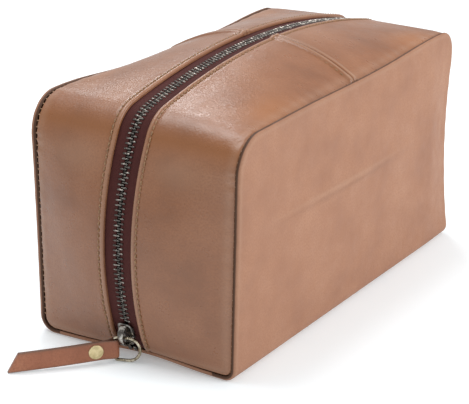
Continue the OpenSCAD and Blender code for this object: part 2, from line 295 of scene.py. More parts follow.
def settle(points):
    """Bends every soft piece alike: leaning front corners, a pinched rear, raised ears on the top."""
    p = np.array(points, float)
    x, y, z = p[..., 0], p[..., 1], p[..., 2]
    side = x / HALF_WIDTH
    high = np.clip(z / SEAM_HEIGHT, 0, 1.2)
    front = smooth((-y - 0.3 * HALF_LENGTH) / (0.7 * HALF_LENGTH))
    rear = smooth((y - 0.72 * HALF_LENGTH) / (0.28 * HALF_LENGTH))
    lean = np.where(x > 0, RIGHT_LEAN * high, LEFT_LEAN * high ** 3) * front
    pinch = REAR_PINCH * rear * np.sin(math.pi * np.clip(high, 0, 1)) ** 0.7
    back = BACK_LEAN * high * front * np.clip(side, 0, 1)
    top = smooth((z - 0.7 * SEAM_HEIGHT) / (0.3 * SEAM_HEIGHT)) * np.abs(side) ** 2.5
    right_ear = RIGHT_EAR * peak(y - 0.8 * HALF_LENGTH, 0.42 * HALF_LENGTH)
    front_ear = LEFT_EAR * peak(y + 0.75 * HALF_LENGTH, 0.3 * HALF_LENGTH)
    rear_ear = LEFT_EAR * peak(y - 0.8 * HALF_LENGTH, 0.3 * HALF_LENGTH)
    ear = np.where(x > 0, right_ear - RIGHT_SAG, front_ear + rear_ear) * top
    low_end = smooth((np.abs(y) - 0.86 * HALF_LENGTH) / (0.12 * HALF_LENGTH))
    lift = EDGE_LIFT * peak(x - 8 * MM, 30 * MM) * low_end * smooth(1 - z / (14 * MM))
    p[..., 0] = x + (lean - pinch) * side
    p[..., 1] = y + back
    p[..., 2] = z + ear + lift
    return p


# ---------------------------------------------------------------- meshes

# Distances from a panel's edge to the rows of its mesh, close together where the edge rolls.
EDGE_ROWS = np.array([0, 0.15, 0.4, 0.7, 1.0, 1.35, 1.7, 2.1, 2.5, 3.0, 3.6, 4.3, 5.2]) * MM


def clustered(length, step):
    """Distances from 0 to length, a step apart, and closer near both ends."""
    inner = length - 2 * EDGE_ROWS[-1]
    middle = EDGE_ROWS[-1] + np.linspace(0, inner, max(2, round(inner / step)))
    return np.concatenate([EDGE_ROWS[:-1], middle, length - EDGE_ROWS[:-1][::-1]])


def new_object(name, mesh, material):
    mesh.materials.append(material)
    obj = bpy.data.objects.new(name, mesh)
    bpy.context.scene.collection.objects.link(obj)
    return obj


def set_uv(mesh, uv):
    """Gives every corner the coordinates of its vertex."""
    layer = mesh.uv_layers.new(name="surface")
    corner_vertices = np.empty(len(mesh.loops), int)
    mesh.loops.foreach_get("vertex_index", corner_vertices)
    layer.data.foreach_set("uv", np.asarray(uv, np.float32)[corner_vertices].ravel())


def set_tone(mesh, name, values):
    attribute = mesh.attributes.new(name, "FLOAT", "POINT")
    attribute.data.foreach_set("value", np.asarray(values, np.float32).ravel())


def grid_faces(rows, cols, offset=0, flipped=False):
    i, j = np.meshgrid(np.arange(rows - 1), np.arange(cols - 1), indexing="ij")
    a = (i * cols + j).ravel() + offset
    quads = np.stack([a, a + cols, a + cols + 1, a + 1], 1)
    return quads[:, ::-1] if flipped else quads


def shell(name, outer, inner, uv, material, flipped=False, **tones):
    """A closed sheet between two grids of points, rows x columns x 3, with named tones per point."""
    rows, cols = outer.shape[:2]
    count = rows * cols
    ids = np.arange(count).reshape(rows, cols)
    loop = np.concatenate([ids[0, :-1], ids[:-1, -1], ids[-1, :0:-1], ids[:0:-1, 0]])
    ahead = np.roll(loop, -1)
    rim = np.stack([loop, ahead, ahead + count, loop + count], 1)
    if flipped:
        rim = rim[:, ::-1]
    front = grid_faces(rows, cols, 0, flipped)
    back = grid_faces(rows, cols, count, not flipped)
    faces = np.concatenate([front, back, rim])
    mesh = bpy.data.meshes.new(name)
    points = np.concatenate([outer.reshape(-1, 3), inner.reshape(-1, 3)])
    mesh.from_pydata(points.tolist(), [], faces.tolist())
    smooth_faces = np.ones(len(faces), bool)
    smooth_faces[-len(rim):] = False
    mesh.polygons.foreach_set("use_smooth", smooth_faces)
    set_uv(mesh, np.tile(uv.reshape(-1, 2), (2, 1)))
    for tone, values in tones.items():
        set_tone(mesh, tone, np.tile(np.clip(values, 0, 1).ravel(), 2))
    mesh.update()
    return new_object(name, mesh, material)


def loft(name, tubes, material, uv=None, shade_and_burnish=None):
    """Closed tubes in one mesh; each is an array of rings, rings x sides x 3, with flat ends."""
    points, faces, flat = [], [], []
    count = 0
    for tube in tubes:
        rings, sides = tube.shape[:2]
        ring = np.arange(sides)
        ahead = (ring + 1) % sides
        for i in range(rings - 1):
            a = count + i * sides
            faces += np.stack([a + ring, a + ahead, a + sides + ahead, a + sides + ring], 1).tolist()
        flat += [False] * ((rings - 1) * sides) + [True, True]
        faces.append((count + ring[::-1]).tolist())
        faces.append((count + (rings - 1) * sides + ring).tolist())
        points.append(tube.reshape(-1, 3))
        count += rings * sides
    mesh = bpy.data.meshes.new(name)
    mesh.from_pydata(np.concatenate(points).tolist(), [], faces)
    mesh.polygons.foreach_set("use_smooth", [not f for f in flat])
    if uv is not None:
        set_uv(mesh, uv.reshape(-1, 2))
    if shade_and_burnish is not None:
        set_tone(mesh, "shade_and_burnish", shade_and_burnish)
    mesh.update()
    return new_object(name, mesh, material)


def tube(path, radius, sides=12, closed=False):
    """Rings of a round wire along a path of points."""
    path = np.asarray(path, float)
    if closed:
        path = np.concatenate([path, path[:1]])
    ahead = np.gradient(path, axis=0)
    if closed:
        ahead[0] = ahead[-1] = path[1] - path[-2]
    ahead /= np.linalg.norm(ahead, axis=1, keepdims=True)
    flat_normal = np.cross(path[len(path) // 3] - path[0], path[2 * len(path) // 3] - path[0])
    if np.linalg.norm(flat_normal) < 1e-12:
        flat_normal = np.cross(ahead[0], (0.3, 0.5, 0.8))
    up = flat_normal / np.linalg.norm(flat_normal)
    across = np.cross(ahead, up)
    across /= np.linalg.norm(across, axis=1, keepdims=True)
    angle = np.linspace(0, 2 * math.pi, sides, endpoint=False)
    return (path[:, None] + radius * (np.cos(angle)[None, :, None] * across[:, None]
                                      + np.sin(angle)[None, :, None] * up))


def ride_half(obj):
    """Bakes the piece's transform into its mesh; it is not attached to a half or to the base."""
    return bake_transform(obj)


def mirrored(points, side):
    """Right-hand points as they are, or mirrored for the left."""
    return points * np.array([1 if side == "right" else -1, 1, 1])


# ---------------------------------------------------------------- materials

class Nodes:
    """A material, and a short way to write its shader's nodes."""

    def __init__(self, name):
        self.material = bpy.data.materials.new(name)
        self.material.use_nodes = True
        self.tree = self.material.node_tree
        self.shader = self.tree.nodes["Principled BSDF"]

    def add(self, kind, inputs=(), **settings):
        node = self.tree.nodes.new("ShaderNode" + kind)
        for key, value in settings.items():
            setattr(node, key, value)
        for key, value in dict(inputs).items():
            if isinstance(value, bpy.types.NodeSocket):
                self.tree.links.new(value, node.inputs[key])
            else:
                node.inputs[key].default_value = value
        return node

    def place(self, scale):
        """Surface coordinates in metres, scaled."""
        uv = self.add("UVMap", uv_map="surface").outputs[0]
        return self.add("VectorMath", {0: uv, "Scale": scale}, operation="SCALE").outputs[0]

    def noise(self, vector, scale, detail=3.0, roughness=0.55):
        inputs = {"Vector": vector, "Scale": scale, "Detail": detail, "Roughness": roughness}
        return self.add("TexNoise", inputs).outputs["Fac"]

    def ramp(self, value, *stops):
        node = self.add("ValToRGB", {"Fac": value})
        elements = node.color_ramp.elements
        while len(elements) < len(stops):
            elements.new(0.5)
        for element, (position, colour) in zip(elements, stops):
            element.position = position
            element.color = (*colour, 1) if len(colour) == 3 else colour
        return node.outputs["Color"]

    def number(self, value, low, high, to_low, to_high):
        node = self.add("MapRange", {0: value, 1: low, 2: high, 3: to_low, 4: to_high})
        return node.outputs[0]

    def mix(self, factor, a, b):
        node = self.add("Mix", data_type="RGBA")
        for key, kind, value in (("Factor", "VALUE", factor), ("A", "RGBA", a), ("B", "RGBA", b)):
            socket = next(s for s in node.inputs if s.name == key and s.type == kind)
            if isinstance(value, bpy.types.NodeSocket):
                self.tree.links.new(value, socket)
            else:
                socket.default_value = value if kind == "VALUE" else (*value, 1)
        return next(s for s in node.outputs if s.type == "RGBA")

    def tone(self, name):
        return self.add("Attribute", attribute_name=name).outputs["Fac"]

    def bump(self, height, distance, strength=1.0, under=None):
        node = self.add("Bump", {"Height": height, "Distance": distance, "Strength": strength})
        if under is not None:
            self.tree.links.new(under, node.inputs["Normal"])
        return node.outputs[0]

    def finish(self, **sockets):
        for key, value in sockets.items():
            socket = self.shader.inputs[key.replace("_", " ")]
            if isinstance(value, bpy.types.NodeSocket):
                self.tree.links.new(value, socket)
            else:
                socket.default_value = value
        return self.material


AMBER = (0.35, 0.130, 0.038)
# pale colour for worn leather and for painted highlights and sheen
SHEEN_AND_WEAR = (0.40, 0.245, 0.165)


def leather(name, dark, middle, light, burnt_and_shade, gloss, shine=0.45, grain=1.0):
    """Pull-up leather: cloudy colour, fine grain and specks, with amber parts, dark parts that are
    burnished leather and painted shade, and pale parts that are worn leather and painted highlights and
    sheen.
    """
    n = Nodes(name)
    where = n.place(100)                     # one unit is 1 cm
    clouds = n.noise(where, 0.28, 4, 0.6)
    colour = n.ramp(clouds, (0.3, dark), (0.5, middle), (0.72, light))
    specks = n.noise(where, 9, 3, 0.7)
    colour = n.mix(n.number(specks, 0.42, 0.66, 0, 0.7), colour, dark)
    # dark tone: burnished leather, and painted shade in the seams' grooves and under the side panels'
    # fold
    colour = n.mix(n.tone("shade_and_burnish"), colour, burnt_and_shade)
    colour = n.mix(n.tone("amber"), colour, AMBER)
    # pale tone: worn leather, and painted highlights and sheen
    colour = n.mix(n.tone("pale_mix"), colour, SHEEN_AND_WEAR)
    cells = n.add("TexVoronoi", {"Vector": where, "Scale": 9.0 / grain}, feature="SMOOTH_F1")
    pores = n.noise(where, 26, 2, 0.6)
    creases = n.noise(where, 1.1, 4, 0.65)
    bump = n.bump(cells.outputs["Distance"], 0.11 * MM, 0.6)
    bump = n.bump(pores, 0.10 * MM, 0.7, bump)
    bump = n.bump(creases, 0.6 * MM, 0.35, bump)
    rough = n.number(n.noise(where, 0.9, 4, 0.6), 0.3, 0.7, gloss - 0.06, gloss + 0.09)
    return n.finish(Base_Color=colour, Roughness=rough, Normal=bump, Specular_IOR_Level=shine)


def woven(name, thread, gap, ribs, rough=0.8):
    """Woven cloth or tape: two crossing sets of ribs."""
    n = Nodes(name)
    where = n.place(1000)                    # one unit is 1 mm
    waves = []
    for direction, scale in (("X", ribs), ("Y", 0.7 * ribs)):
        inputs = {"Vector": where, "Scale": scale, "Distortion": 0.6, "Detail": 1.0}
        waves.append(n.add("TexWave", inputs, bands_direction=direction).outputs["Fac"])
    weave = n.add("Math", {0: waves[0], 1: waves[1]}, operation="MULTIPLY").outputs[0]
    colour = n.ramp(weave, (0.0, gap), (0.6, thread))
    fluff = n.noise(where, 0.25, 4, 0.6)
    colour = n.mix(n.number(fluff, 0.3, 0.7, 0, 0.4), colour, gap)
    bump = n.bump(weave, 0.15 * MM, 0.6)
    return n.finish(Base_Color=colour, Roughness=rough, Normal=bump, Specular_IOR_Level=0.2)


def metal(name, patina, bare, rough, pale_mix=0.5):
    """Old brass: patina with brighter metal where it is rubbed."""
    n = Nodes(name)
    where = n.add("TexCoord").outputs["Object"]
    spots = n.noise(where, 420, 3, 0.6)
    colour = n.mix(n.number(spots, 0.72 - pale_mix * 0.5, 0.9 - pale_mix * 0.4, 0, 1), patina, bare)
    roughness = n.number(spots, 0.3, 0.7, rough + 0.08, rough - 0.06)
    bump = n.bump(n.noise(where, 2500, 2, 0.5), 0.01 * MM, 0.3)
    return n.finish(Base_Color=colour, Metallic=1.0, Roughness=roughness, Normal=bump)


def thread(name, light, dark):
    """Waxed sewing thread with its twist."""
    n = Nodes(name)
    where = n.add("TexCoord").outputs["Object"]
    twist = n.noise(where, 1600, 2, 0.5)
    colour = n.mix(n.number(twist, 0.35, 0.65, 0, 1), dark, light)
    return n.finish(Base_Color=colour, Roughness=0.6, Normal=n.bump(twist, 0.1 * MM, 0.5))


def floor_material():
    n = Nodes("floor")
    where = n.add("TexCoord").outputs["Object"]
    haze = n.noise(where, 2.0, 2, 0.5)
    colour = n.ramp(haze, (0.3, (0.82, 0.87, 0.895)), (0.7, (0.84, 0.89, 0.915)))
    return n.finish(Base_Color=colour, Roughness=0.7, Emission_Color=colour, Emission_Strength=0.24)


gusset_leather = leather(
    "gusset_leather", dark=(0.205, 0.080, 0.035), middle=(0.27, 0.109, 0.049), light=(0.32, 0.139, 0.067),
    burnt_and_shade=(0.20, 0.070, 0.020), gloss=0.31, shine=0.55)
# The side leather's near-black dark colour is painted shade in the seams' grooves and under the fold.
side_leather = leather(
    "side_leather", dark=(0.275, 0.131, 0.079), middle=(0.33, 0.162, 0.096), light=(0.38, 0.197, 0.120),
    burnt_and_shade=(0.075, 0.032, 0.016), gloss=0.62, shine=0.28, grain=0.8)
strap_leather = leather(
    "strap_leather", dark=(0.22, 0.072, 0.033), middle=(0.30, 0.104, 0.050), light=(0.37, 0.145, 0.074),
    burnt_and_shade=(0.14, 0.075, 0.05), gloss=0.48)
tape_cloth = woven("tape_cloth", (0.125, 0.034, 0.028), (0.045, 0.011, 0.010), 1.1)
lining_cloth = woven("lining_cloth", (0.22, 0.165, 0.115), (0.10, 0.07, 0.045), 0.8)
tooth_metal = metal("tooth_metal", (0.10, 0.090, 0.082), (0.52, 0.47, 0.42), 0.28, 0.45)
slider_metal = metal("slider_metal", (0.12, 0.11, 0.10), (0.55, 0.52, 0.47), 0.25, 0.5)
ring_metal = metal("ring_metal", (0.22, 0.18, 0.12), (0.66, 0.59, 0.46), 0.25, 0.6)
rivet_metal = metal("rivet_metal", (0.52, 0.42, 0.22), (0.66, 0.54, 0.31), 0.40, 0.7)
groove_thread = thread("groove_thread", (0.46, 0.28, 0.16), (0.20, 0.11, 0.055))
seam_thread = thread("seam_thread", (0.36, 0.205, 0.105), (0.16, 0.08, 0.035))


# ---------------------------------------------------------------- leather panels

def gusset_creases(s, x):
    """Soft waves and fold lines in a gusset, as depth: s along the zip, x across."""
    past_bend = s - arc_ends[0]
    across = x - 34 * MM
    hollow = 0.55 * MM * peak(past_bend + 3.5 * MM, 10 * MM) * peak(across, 20 * MM)
    ridge = 0.45 * MM * peak(past_bend - 11 * MM, 10 * MM) * peak(across, 25 * MM)
    wander = 1.3 * np.sin(s / (37 * MM)) + 0.6 * np.sin(s / (17 * MM))
    waves = 0.35 * MM * np.sin(x / (7.5 * MM) + wander) * peak(s - 55 * MM, 38 * MM)
    waves *= smooth((x - ZIP_EDGE) / (14 * MM)) * smooth((HALF_WIDTH - x) / (11 * MM))
    dimples = 0.5 * MM * np.sin(s / (26 * MM) + 1.3) * np.sin((x + 4 * MM) / (17 * MM))
    return hollow - ridge + waves + dimples * smooth((x - ZIP_EDGE) / (10 * MM))


def stitch_groove(distance, along, least):
    """The groove that a row of stitches pulls into the leather, deeper at each needle hole."""
    holes = 0.5 + 0.5 * np.cos(2 * math.pi * along / STITCH_PITCH)
    return (least + 0.15 * MM * holes) * peak(distance, STITCH_GROOVE)


def gusset_relief(s, x, inside):
    """How deep the gusset's face lies at its stitch rows and creases; inside is from the rolled edge."""
    from_edge = x - ZIP_EDGE
    from_cross = ZIP_HALF - s
    along_seam = s * SEAM_HALF / ZIP_HALF
    depth = edge_roll(from_cross, CROSS_ROLL) + 0.8 * edge_roll(from_edge, EDGE_ROLL)
    depth += stitch_groove(from_edge - STITCH_FROM_EDGE, s, 0.25 * MM)
    depth += stitch_groove(from_cross - CROSS_STITCH, x, 0.3 * MM)
    depth -= 0.3 * MM * peak(from_edge - 1.4 * MM, 1.0 * MM)
    depth -= CROSS_RISE * smooth((CROSS_STITCH + 1.2 * MM - from_cross) / (2 * MM))
    gathers = np.sin(s / (1.7 * MM) + 1.5 * np.sin(s / (11 * MM)))
    depth += 0.14 * MM * gathers * peak(inside - 1.5 * MM, 3 * MM)
    puckers = np.sin(along_seam / (0.75 * MM) + 1.2 * np.sin(along_seam / (3 * MM)))
    depth += 0.4 * MM * puckers * peak(along_seam - seam_rise, 11 * MM) * peak(inside, 2 * MM)
    return depth + gusset_creases(s, x) * smooth(inside / (6 * MM))


def gusset_tones(s, x, inside):
    """How dark, pale and amber the gusset is, from 0 to 1; the dark tone is partly painted shade and the
    pale tone partly painted highlights and sheen.
    """
    from_edge = x - ZIP_EDGE
    from_cross = ZIP_HALF - s
    past_bend = s - arc_ends[0]
    rows = peak(from_edge - STITCH_FROM_EDGE, 0.8 * MM) + peak(from_cross - CROSS_STITCH, 0.9 * MM)
    # painted shade: dark where the two gussets meet at the cross seam and where the edge rolls into the
    # side seam's groove
    seams = 0.8 * np.exp(-from_cross / (0.7 * MM)) + 2 * smooth((-inside - 1.5 * MM) / (0.6 * MM))
    # darker at the start of the bend and near the cross seam
    folds = 0.7 * peak(past_bend - 0.5 * MM, 3.8 * MM) + 0.3 * peak(from_cross, 10 * MM)
    # also darker along the stitch rows and towards the front's bottom edge
    shade_and_burnish = 0.5 * rows + seams + folds + 0.2 * np.exp(-s / (16 * MM))
    # pale strips by the zip's edge and the cross seam: the raw edge's paler colour and its painted
    # highlight
    pale_mix = 0.35 * peak(from_edge - 1.2 * MM, 1.0 * MM) + 0.4 * peak(from_cross - 1.9 * MM, 1.0 * MM)
    # painted highlight where the edge starts to roll into the side seam
    pale_mix += 0.2 * peak(inside - 1.5 * MM, 2.2 * MM)
    # painted sheen: a pale patch on the front face just below the bend
    pale_mix += 0.28 * peak(past_bend + 15 * MM, 9 * MM) * peak(x - 30 * MM, 16 * MM)
    patch = peak(s - arc_ends[1] - 26 * MM, 20 * MM) * peak(HALF_WIDTH - 11 * MM - x, 10 * MM)
    amber = 0.6 * patch + 0.3 * peak(past_bend, 6 * MM)
    return {"shade_and_burnish": shade_and_burnish, "pale_mix": pale_mix, "amber": amber}


def gusset_grid(side):
    """Flat places on a gusset: its parameter along the bag, x, and the outline that they roll over."""
    reach, corner = GUSSET_REACH[side], GUSSET_CORNER[side]
    low = PANEL_BOTTOM - GUSSET_LOWEST
    over = GUSSET_ROLL * (GUSSET_TURN - 1)
    across = ZIP_EDGE + clustered(reach + over - ZIP_EDGE, 1.3 * MM)
    lowest = outline_reach(across, reach + over, low + over, corner + over)
    share = clustered(ZIP_HALF, 1.3 * MM) / ZIP_HALF
    first = -lowest / SEAM_HALF
    t = first[None, :] + share[:, None] * (1 - 0.1 * MM / ZIP_HALF - first[None, :])
    return t, across[None, :] + 0 * t, (reach, low, corner, GUSSET_ROLL)


def gusset(end, side):
    """One of the four gusset panels, with its turned edges."""
    t, x, outline = gusset_grid(side)
    s = t * ZIP_HALF
    ways = np.array([1 if side == "right" else -1, 1 if end == "front" else -1, 1])
    faces = []
    for skin in (0, LEATHER):
        x2, low, depth, inside = roll_over(x, -t * SEAM_HALF, *outline, skin)
        relief = gusset_relief(s, x, inside)
        if skin > 0:
            relief = np.maximum(relief - 0.8 * MM, 0)
        faces.append(settle(gusset_point(-low / SEAM_HALF, x2, depth + relief) * ways))
    hide_shift = {"front": 0, "rear": 0.4}[end] + {"right": 0, "left": 0.9}[side]
    uv = np.stack([x + hide_shift, s], -1)
    name = f"gusset_{end}_{side}"
    flipped = (end == "rear") != (side == "left")
    tones = gusset_tones(s, x, inside)
    obj = shell(name + "_leather", *faces, uv, gusset_leather, flipped, **tones)
    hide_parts(name)
    return ride_half(obj)


def wall_section(q, side):
    """x, z and the inward way at q along the wrap's section, which starts at the middle of the bottom."""
    radius = FOLD_RADIUS[side]
    flat = HALF_WIDTH - radius
    turn = np.clip((q - flat) / radius, 0, math.pi / 2)
    wall = np.maximum(q - flat - radius * math.pi / 2, 0)
    x = np.minimum(q, flat) + radius * np.sin(turn)
    z = radius * (1 - np.cos(turn)) + wall
    return x, z, -np.sin(turn), np.cos(turn)


def crease_reach(y):
    """How strong the fold across a side panel is, from 0 to 1."""
    return peak(y - CREASE.y, CREASE_HALF_LENGTH)


def wall_relief(y, z, inside):
    """How deep a side panel's face lies at its waves and creases."""
    high = np.clip(z / SEAM_HEIGHT, 0, 1)
    long = np.clip(y / HALF_LENGTH, -1, 1)
    belly = SIDE_BELLY * (1 - long ** 2) * np.sin(math.pi * high)
    fold = peak(z - CREASE.z, 2.8 * MM) + 0.6 * peak(z - CREASE.z, 12 * MM)
    waves = 0.55 * MM * np.sin(y / (29 * MM) + 0.6) * np.sin(z / (22 * MM) + 0.4)
    waves = waves * smooth(inside / (12 * MM))
    gathers = np.sin((y + z) / (1.8 * MM) + 1.4 * np.sin(y / (13 * MM)))
    gathers = 0.12 * MM * gathers * peak(inside - 1.5 * MM, 3 * MM)
    return waves + gathers - belly - CREASE_RISE * fold * crease_reach(y)


def wall_tones(y, z, inside, from_end):
    """How dark and pale a side panel is: painted shade in its seams and under its fold, and painted
    highlights on its rolled edges and on top of its fold.
    """
    # painted shade: near-black in the seam's groove and darker just under the fold; also a little darker
    # near the edges
    shade_and_burnish = 1.6 * smooth((1.75 * MM - from_end) / (0.8 * MM))
    shade_and_burnish += 0.05 * np.exp(-np.maximum(inside, 0) / (3.5 * MM))
    shade_and_burnish += 0.16 * peak(z - CREASE.z + 2.2 * MM, 1.8 * MM) * crease_reach(y)
    # painted highlight on top of the fold, and on the crest of the rolled edge
    on_fold = 0.3 * peak(z - CREASE.z - 0.8 * MM, 1.3 * MM) * crease_reach(y)
    return {"shade_and_burnish": shade_and_burnish, "pale_mix": 0.25 * peak(inside, 1.3 * MM) + on_fold}


def wall_length(side):
    """The wrap's section from the middle of the bottom to the top seam."""
    return HALF_WIDTH - FOLD_RADIUS[side] * (2 - math.pi / 2) + SEAM_HEIGHT


def wrap_roll(q, side):
    """The radius of the wrap's rolled edge, which is tighter along the bottom."""
    high = smooth((q - HALF_WIDTH + 8 * MM) / (20 * MM))
    return BOTTOM_ROLL + (WRAP_ROLL[side] - BOTTOM_ROLL) * high


def wrap_grid(side, q_from, q_to):
    """Flat places on the wrap: y, and the distance along its section from q_from to q_to."""
    q = q_from + clustered(q_to - q_from, 1.6 * MM)
    over = wrap_roll(q, side) * (WRAP_TURN - 1)
    corner = CORNER_RADIUS + over
    up = np.clip(q - (wall_length(side) - CORNER_RADIUS), 0, corner)
    reach = (HALF_LENGTH - CORNER_RADIUS + np.sqrt(np.maximum(corner ** 2 - up ** 2, 0)))[:, None]
    place = clustered(2 * HALF_LENGTH, 1.6 * MM)[None, :] - HALF_LENGTH
    from_end = HALF_LENGTH - np.abs(place)
    y = np.sign(place) * (reach - from_end - (reach - HALF_LENGTH) * (from_end / HALF_LENGTH) ** 2)
    return y, q[:, None] + 0 * y


def wrap_faces(side, y, q):
    """The wrap's outer and inner faces over flat places, and how far inside its outline they are."""
    outline = (HALF_LENGTH, wall_length(side), CORNER_RADIUS, wrap_roll(q, side))
    faces = []
    for skin in (0, LEATHER):
        y2, q2, depth, inside = roll_over(y, q, *outline, skin)
        x, z, way_x, way_z = wall_section(q2, side)
        depth = depth + wall_relief(y2, z, inside) * smooth(z / (3 * FOLD_RADIUS[side]))
        points = np.stack([x + way_x * depth, y2, z + way_z * depth], -1)
        faces.append(settle(mirrored(points, side)))
    return faces, inside


def wrap(side):
    """A side panel with its bottom fold and rolled edges."""
    top = wall_length(side) + WRAP_ROLL[side] * (WRAP_TURN - 1)
    y, q = wrap_grid(side, BASE_EDGE + 0.1 * MM, top)
    faces, inside = wrap_faces(side, y, q)
    uv = np.stack([y + (0.4 if side == "left" else 0), q], -1)
    tones = wall_tones(y, faces[0][..., 2], inside, inside + wrap_roll(q, side) * WRAP_TURN)
    obj = shell(f"side_panel_{side}_leather", *faces, uv, side_leather, side == "left", **tones)
    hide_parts(f"side_panel_{side}")
    return ride_half(obj)


def base():
    """The bottom of the wrap, with its front and rear edges rolled up."""
    over = BOTTOM_ROLL * (WRAP_TURN - 1)
    ys = clustered(2 * (HALF_LENGTH + over), 1.6 * MM) - HALF_LENGTH - over
    x, y = np.meshgrid(np.linspace(-BASE_EDGE, BASE_EDGE, 64), ys, indexing="ij")
    outline = (HALF_WIDTH, HALF_LENGTH, CORNER_RADIUS, BOTTOM_ROLL)
    faces = []
    for skin in (0, LEATHER):
        _, from_middle, z, _ = roll_over(0 * y, np.abs(y), *outline, skin)
        faces.append(settle(np.stack([x, np.sign(y) * from_middle, z], -1)))
    obj = shell("base_panel_leather", *faces, np.stack([y, x], -1), side_leather)
    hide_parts("base_panel")
    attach(obj, "base")


def gusset_lining(side):
    """The cloth behind both gussets of a half, from front to back."""
    t = np.linspace(0.025, 1.975, 240)[:, None]
    x = np.linspace(10 * MM, HALF_WIDTH - 5 * MM, 28)[None, :] + 0 * t
    t = t + 0 * x
    faces = [lining_face(t, x, LINING_DEPTH + skin, side) for skin in (0, CLOTH)]
    uv = np.stack([x, t * ZIP_HALF], -1)
    add_lining(f"lining_gusset_{side}", faces, uv, side == "left")


def lining_face(t, x, depth, side):
    return settle(mirrored(gusset_point(t, x, depth + 0 * t), side))


def side_lining(side):
    """The cloth behind a side panel."""
    inset = 7 * MM
    y, q = wrap_grid(side, BASE_EDGE + 2 * MM, wall_length(side) - inset)
    y = y * (HALF_LENGTH - inset) / HALF_LENGTH
    x, z, way_x, way_z = wall_section(q, side)
    relief = wall_relief(y, z, HALF_LENGTH - np.abs(y)) * smooth(z / (3 * FOLD_RADIUS[side]))
    faces = []
    for skin in (0, CLOTH):
        depth = LINING_DEPTH + 0.2 * MM + skin + relief
        faces.append(settle(mirrored(np.stack([x + way_x * depth, y, z + way_z * depth], -1), side)))
    add_lining(f"lining_side_{side}", faces, np.stack([y, q], -1), side == "left")


def add_lining(node, faces, uv, flipped):
    obj = shell(node + "_cloth", *faces, uv, lining_cloth, flipped)
    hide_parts(node)
    return ride_half(obj)


def base_lining():
    """The cloth on the bottom of the inside."""
    across = np.linspace(-1, 1, 60) * (BASE_EDGE - 1 * MM)
    along = np.linspace(-1, 1, 120) * (HALF_LENGTH - 8 * MM)
    x, y = np.meshgrid(across, along, indexing="ij")
    wave = 0.15 * MM * np.sin(x / (9 * MM)) * np.sin(y / (14 * MM))
    rise = LEATHER + GAP + 0.2 * MM
    faces = [settle(np.stack([x, y, rise + skin + wave], -1)) for skin in (0, CLOTH)]
    obj = shell("lining_base_cloth", *faces, np.stack([x, y], -1), lining_cloth, True)
    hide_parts("lining_base")
    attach(obj, "base")


# ---------------------------------------------------------------- zip

slider_out = (hook - slider_pivot).normalized()
SLIDER_ANGLE = math.atan2(-slider_out.z, -slider_out.y)
SLIDER_PLACE = END_RADIUS * (zip_start - math.pi - SLIDER_ANGLE)
CHAIN_FROM = SLIDER_PLACE + SLIDER_SIZE.y / 2 + 1 * MM
CHAIN_TO = 2 * ZIP_HALF - 3 * STOP_LENGTH


def zip_tape(side):
    """The woven tape along one side of the zip, with its corded inner edge."""
    t = np.linspace(0.004, 1.996, 420)[:, None]
    x = np.concatenate([TAPE_INNER + np.array([0, 0.15, 0.4, 0.7, 1.1, 1.5, 1.9]) * MM,
                        np.linspace(TAPE_INNER + 2.6 * MM, TAPE_OUTER, 18)])[None, :]
    cord = 0.28 * MM * peak(x - TAPE_INNER - 0.7 * MM, 0.6 * MM)
    wave = 0.1 * MM * np.sin(t * ZIP_HALF / (9 * MM)) * smooth((x - 5 * MM) / (5 * MM))
    x, t = x + 0 * t, t + 0 * x
    outer = settle(mirrored(gusset_point(t, x, TAPE_DEPTH - cord + wave), side))
    inner = settle(mirrored(gusset_point(t, x, TAPE_DEPTH + TAPE + cord + wave), side))
    uv = np.stack([x, t * ZIP_HALF], -1)
    obj = shell(f"zip_tape_{side}_cloth", outer, inner, uv, tape_cloth, side == "left")
    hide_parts(f"zip_tape_{side}")
    return ride_half(obj)


def tooth_profile():
    """Places across a tooth's section, along the zip and outwards: flat below, ridged above."""
    angle = np.linspace(0, 2 * math.pi, 12, endpoint=False) + math.pi / 12
    along, out = np.cos(angle), np.sin(angle)
    along = np.sign(along) * np.abs(along) ** 0.9
    out = np.sign(out) * np.abs(out) ** 0.8
    return along, out


# A tooth's sections from its head to its clamp: across, half the length along the zip, half the height.
TOOTH_STATIONS = np.array([
    (-TOOTH_REACH, 0.20 * MM, 0.40 * MM),
    (-TOOTH_REACH + 0.15 * MM, 0.45 * MM, 0.60 * MM),
    (-TOOTH_REACH + 0.5 * MM, 0.60 * MM, 0.70 * MM),
    (0.30 * MM, 0.58 * MM, 0.80 * MM),
    (0.60 * MM, 0.50 * MM, 1.05 * MM),
    (1.0 * MM, 0.55 * MM, 1.20 * MM),
    (2.4 * MM, 0.60 * MM, 1.25 * MM),
    (2.9 * MM, 0.54 * MM, 1.10 * MM),
    (TOOTH_ROOT, 0.3 * MM, 0.80 * MM),
])


def tooth_row(side):
    """The metal teeth of one tape: a clamp round the tape's cord, a neck and a rounded head."""
    across, half_length, half_height = TOOTH_STATIONS.T[:, :, None, None]
    along, out = (way[None, :, None] for way in tooth_profile())
    first = CHAIN_FROM + (0 if side == "right" else TOOTH_PITCH / 2)
    tubes = []
    for s in np.arange(first, CHAIN_TO, TOOTH_PITCH):
        y, z, angle = zip_line(s, CHAIN_DEPTH)
        outwards = np.array([0, np.cos(angle), np.sin(angle)])
        onwards = np.array([0, np.sin(angle), -np.cos(angle)])
        centre = np.array([0, y, z]) + across * np.array([1, 0, 0])
        rings = centre + half_length * along * onwards + half_height * out * outwards
        tubes.append(settle(mirrored(rings, side)))
    obj = loft(f"zip_teeth_{side}_metal", tubes, tooth_metal)
    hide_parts(f"zip_teeth_{side}")
    return ride_half(obj)


